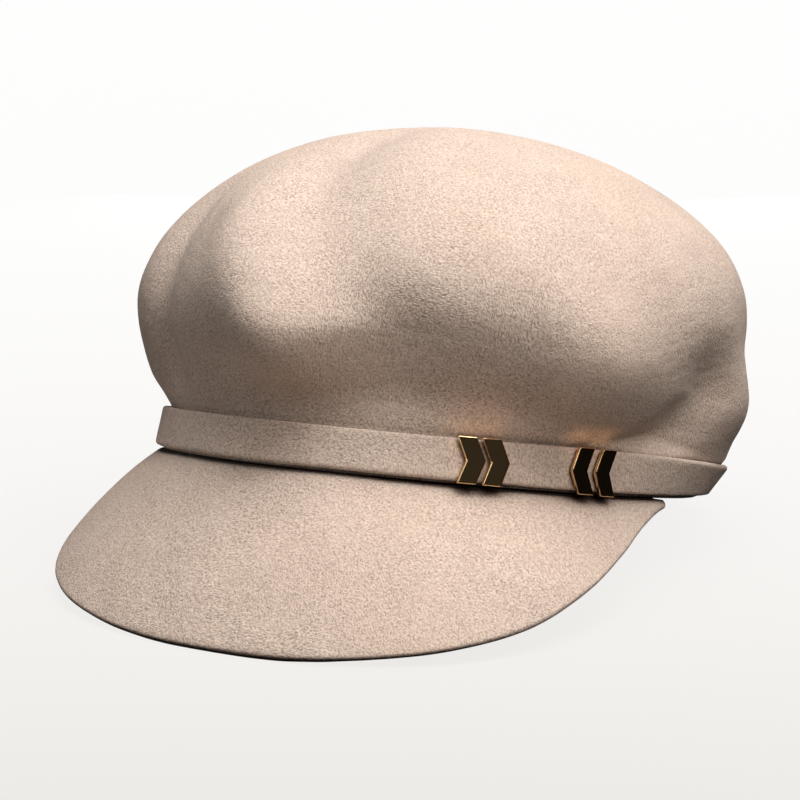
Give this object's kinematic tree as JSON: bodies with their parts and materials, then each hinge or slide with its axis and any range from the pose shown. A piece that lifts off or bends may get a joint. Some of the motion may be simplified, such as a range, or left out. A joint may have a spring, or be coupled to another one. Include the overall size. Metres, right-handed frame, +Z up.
{
  "type": "wool cap",
  "caption": "Baker-boy cap in wool felt: full soft crown with shallow folds, flared peak, narrow felt band and polished metal chevrons on the band.",
  "frame": {"origin": "on the table, under the middle of the cap's bounding box", "axes": "+Z up from the table, -Y the way the peak points, +X the wearer's left, where the chevrons are"},
  "size_m": [0.1886, 0.261, 0.1331],
  "materials": {
    "felt": "matt brushed wool felt",
    "gilt_metal": "mirror polished pale gold"
  },
  "bodies": {
    "root": {"crown": "felt", "peak": "felt", "band": "felt", "chevron_front_outer": "gilt_metal", "chevron_front_inner": "gilt_metal", "chevron_back_inner": "gilt_metal", "chevron_back_outer": "gilt_metal"}
  },
  "joints": []
}
